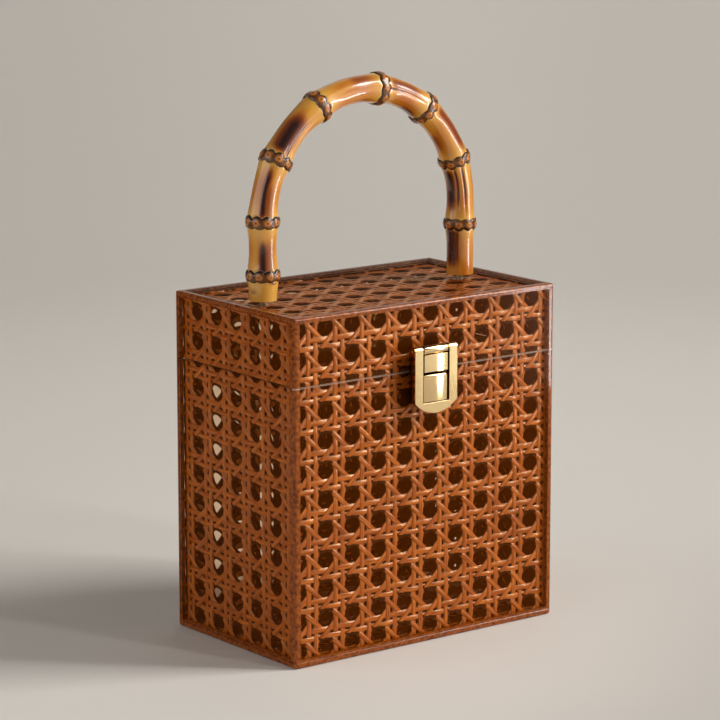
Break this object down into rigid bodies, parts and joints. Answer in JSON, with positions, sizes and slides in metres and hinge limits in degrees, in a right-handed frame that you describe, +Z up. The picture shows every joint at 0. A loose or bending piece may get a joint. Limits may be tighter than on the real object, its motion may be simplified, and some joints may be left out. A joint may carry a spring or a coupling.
{
  "type": "basket box bag",
  "caption": "Upright box bag of clear sheet backed with open-woven cane, with a hinged lid, an arched bamboo handle on top and a swing hasp on the front.",
  "frame": {"origin": "middle of the flat underside of the base sheet, on the surface that the bag stands on", "axes": "+Z up, the front with the hasp faces -Y, +X along the width to the right as seen from the front"},
  "size_m": [0.15, 0.1027, 0.2576],
  "materials": {
    "clear_sheet": "clear polished acrylic, faintly amber at its edges",
    "cane": "orange-brown varnished cane strands",
    "bamboo": "honey bamboo root with scorched patches and dark node rings, high gloss",
    "gold": "polished pale gold plate",
    "steel": "plain bright steel"
  },
  "bodies": {
    "box": {"body_front_panel": "clear_sheet", "body_back_panel": "clear_sheet", "body_left_panel": "clear_sheet", "body_right_panel": "clear_sheet", "body_base_panel": "clear_sheet", "body_front_cane": "cane", "body_back_cane": "cane", "body_left_cane": "cane", "body_right_cane": "cane", "body_base_cane": "cane", "hasp_catch": "gold", "hasp_catch_rivets": "gold", "hinge_body_rivets": "gold", "hinge_left_body_leaf": "gold", "hinge_right_body_leaf": "gold", "hinge_left_pin": "gold", "hinge_right_pin": "gold"},
    "lid": {"lid_front_panel": "clear_sheet", "lid_back_panel": "clear_sheet", "lid_left_panel": "clear_sheet", "lid_right_panel": "clear_sheet", "lid_top_panel": "clear_sheet", "lid_front_cane": "cane", "lid_back_cane": "cane", "lid_left_cane": "cane", "lid_right_cane": "cane", "lid_top_cane": "cane", "bamboo_handle": "bamboo", "handle_screws": "steel", "handle_washers": "steel", "hasp_lid_plate": "gold", "hasp_lid_rivets": "gold", "hasp_pin": "gold", "hinge_lid_rivets": "gold", "hinge_left_lid_leaf": "gold", "hinge_right_lid_leaf": "gold"},
    "hasp": {"hasp_lever": "gold"}
  },
  "joints": [
    {"name": "lid_hinge", "type": "hinge", "parent": "box", "child": "lid", "pos_m": [0, 0.0482, 0.1273], "axis": [-1, 0, 0], "range_deg": [0, 105]},
    {"name": "hasp_hinge", "type": "hinge", "parent": "lid", "child": "hasp", "pos_m": [0, -0.0499, 0.1373], "axis": [-1, 0, 0], "range_deg": [0, 120]}
  ]
}
